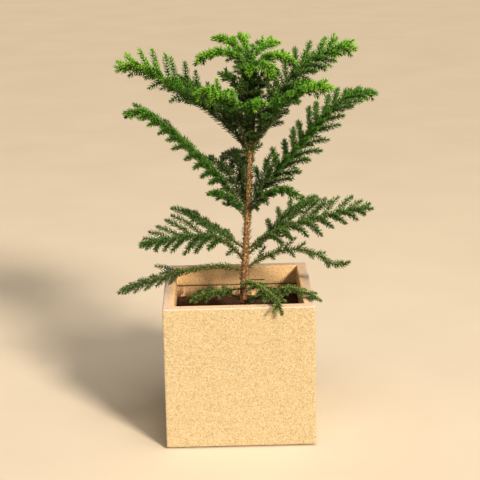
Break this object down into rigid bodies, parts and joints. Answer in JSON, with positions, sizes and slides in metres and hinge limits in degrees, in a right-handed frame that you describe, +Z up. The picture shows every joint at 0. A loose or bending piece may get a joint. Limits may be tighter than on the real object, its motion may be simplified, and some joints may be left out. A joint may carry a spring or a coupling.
{
  "type": "potted norfolk island pine",
  "caption": "Young Norfolk island pine with whorled boughs of soft needles, growing from soil in a square granite planter; a freestanding patio plant.",
  "frame": {"origin": "on the floor under the middle of the planter's foot", "axes": "+Z up; +X to the right as the picture shows the planter; +Y away from the viewer"},
  "size_m": [0.5335, 0.3891, 0.8031],
  "materials": {
    "granite": "matte",
    "potting_soil": "matte",
    "bark": "matte",
    "needles_old": "matte",
    "needles_green": "matte",
    "needles_fresh": "matte",
    "needles_tip": "matte"
  },
  "bodies": {
    "root": {"bough_fifth_back": "bark", "bough_fifth_back_left": "bark", "bough_fifth_back_right": "bark", "bough_fifth_front_left": "bark", "bough_fifth_front_right": "bark", "bough_fifth_left": "bark", "bough_fifth_right": "bark", "bough_fourth_back": "bark", "bough_fourth_back_left": "bark", "bough_fourth_front_left": "bark", "bough_fourth_left": "bark", "bough_fourth_right": "bark", "bough_pot_front": "bark", "bough_pot_left": "bark", "bough_pot_left_low": "bark", "bough_pot_right": "bark", "bough_second_left": "bark", "bough_second_right": "bark", "bough_third_left": "bark", "bough_third_left_low": "bark", "bough_third_right": "bark", "bough_third_right_back": "bark", "foliage_bud": "needles_tip", "foliage_fifth_back": "needles_fresh", "foliage_fifth_back_left": "needles_fresh", "foliage_fifth_back_right": "needles_fresh", "foliage_fifth_front": "needles_fresh", "foliage_fifth_front_left": "needles_fresh", "foliage_fifth_front_right": "needles_fresh", "foliage_fifth_left": "needles_fresh", "foliage_fifth_right": "needles_fresh", "foliage_fourth_back": "needles_green", "foliage_fourth_back_left": "needles_green", "foliage_fourth_front_left": "needles_green", "foliage_fourth_front_right": "needles_green", "foliage_fourth_left": "needles_green", "foliage_fourth_right": "needles_green", "foliage_leader": "needles_fresh", "foliage_pot_front": "needles_old", "foliage_pot_left": "needles_old", "foliage_pot_left_low": "needles_old", "foliage_pot_right": "needles_old", "foliage_second_left": "needles_old", "foliage_second_right": "needles_old", "foliage_third_left": "needles_old", "foliage_third_left_low": "needles_old", "foliage_third_right": "needles_old", "foliage_third_right_back": "needles_old", "foliage_top_back": "needles_tip", "foliage_top_back_left": "needles_tip", "foliage_top_back_right": "needles_tip", "foliage_top_front": "needles_tip", "foliage_top_front_right": "needles_tip", "foliage_top_left": "needles_tip", "foliage_top_right": "needles_tip", "planter": "granite", "soil": "potting_soil", "trunk": "bark"}
  },
  "joints": []
}
